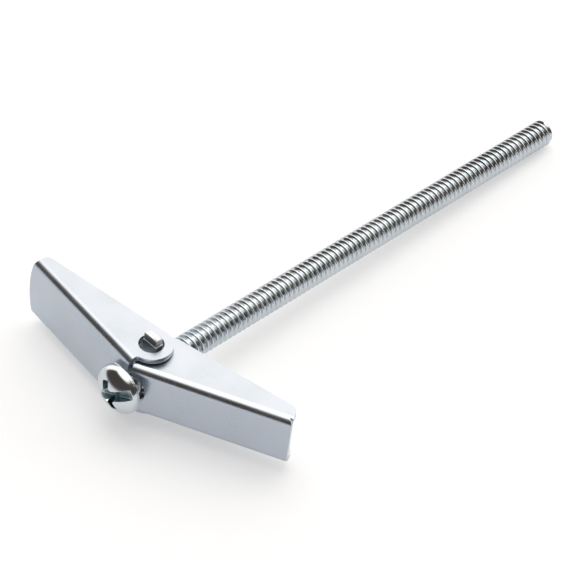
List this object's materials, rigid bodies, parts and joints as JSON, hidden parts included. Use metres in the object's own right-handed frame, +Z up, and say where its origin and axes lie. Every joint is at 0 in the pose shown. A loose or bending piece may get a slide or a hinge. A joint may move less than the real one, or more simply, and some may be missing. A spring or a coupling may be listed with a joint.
{
  "type": "spring toggle bolt",
  "caption": "Long round-head machine screw with a trunnion nut and sprung folding channel wings, for fastening to a hollow wall from one side.",
  "frame": {"origin": "centre of the flat face under the screw's head, on the screw's axis", "axes": "+Y along the screw from the head to its tip, +Z up along the tangs that the wings turn on, +X to the inner wing's side"},
  "size_m": [0.0518, 0.1045, 0.0154],
  "materials": {
    "screw_zinc": "bright zinc plate on a rolled thread",
    "wing_zinc": "satin bright zinc plate on pressed sheet steel",
    "nut_zinc": "zinc plate on sheared steel",
    "spring_steel": "drawn spring wire"
  },
  "bodies": {
    "screw": {"screw": "screw_zinc"},
    "nut": {"trunnion_nut": "nut_zinc", "torsion_spring": "spring_steel"},
    "outer_wing": {"outer_wing": "wing_zinc"},
    "inner_wing": {"inner_wing": "wing_zinc"}
  },
  "joints": [
    {"name": "toggle_travel", "type": "slide", "parent": "screw", "child": "nut", "axis": [0, 1, 0], "range_m": [0, 0.092]},
    {"name": "outer_wing_fold", "type": "hinge", "parent": "nut", "child": "outer_wing", "pos_m": [0, 0.0058, 0], "axis": [0, 0, -1], "range_deg": [0, 75], "stiffness_Nm_per_rad": 0.004, "springref_deg": -28.65, "deforming": ["torsion_spring"]},
    {"name": "inner_wing_fold", "type": "hinge", "parent": "nut", "child": "inner_wing", "pos_m": [0, 0.0058, 0], "axis": [0, 0, 1], "range_deg": [0, 57], "stiffness_Nm_per_rad": 0.004, "springref_deg": -28.65, "deforming": ["torsion_spring"]}
  ]
}
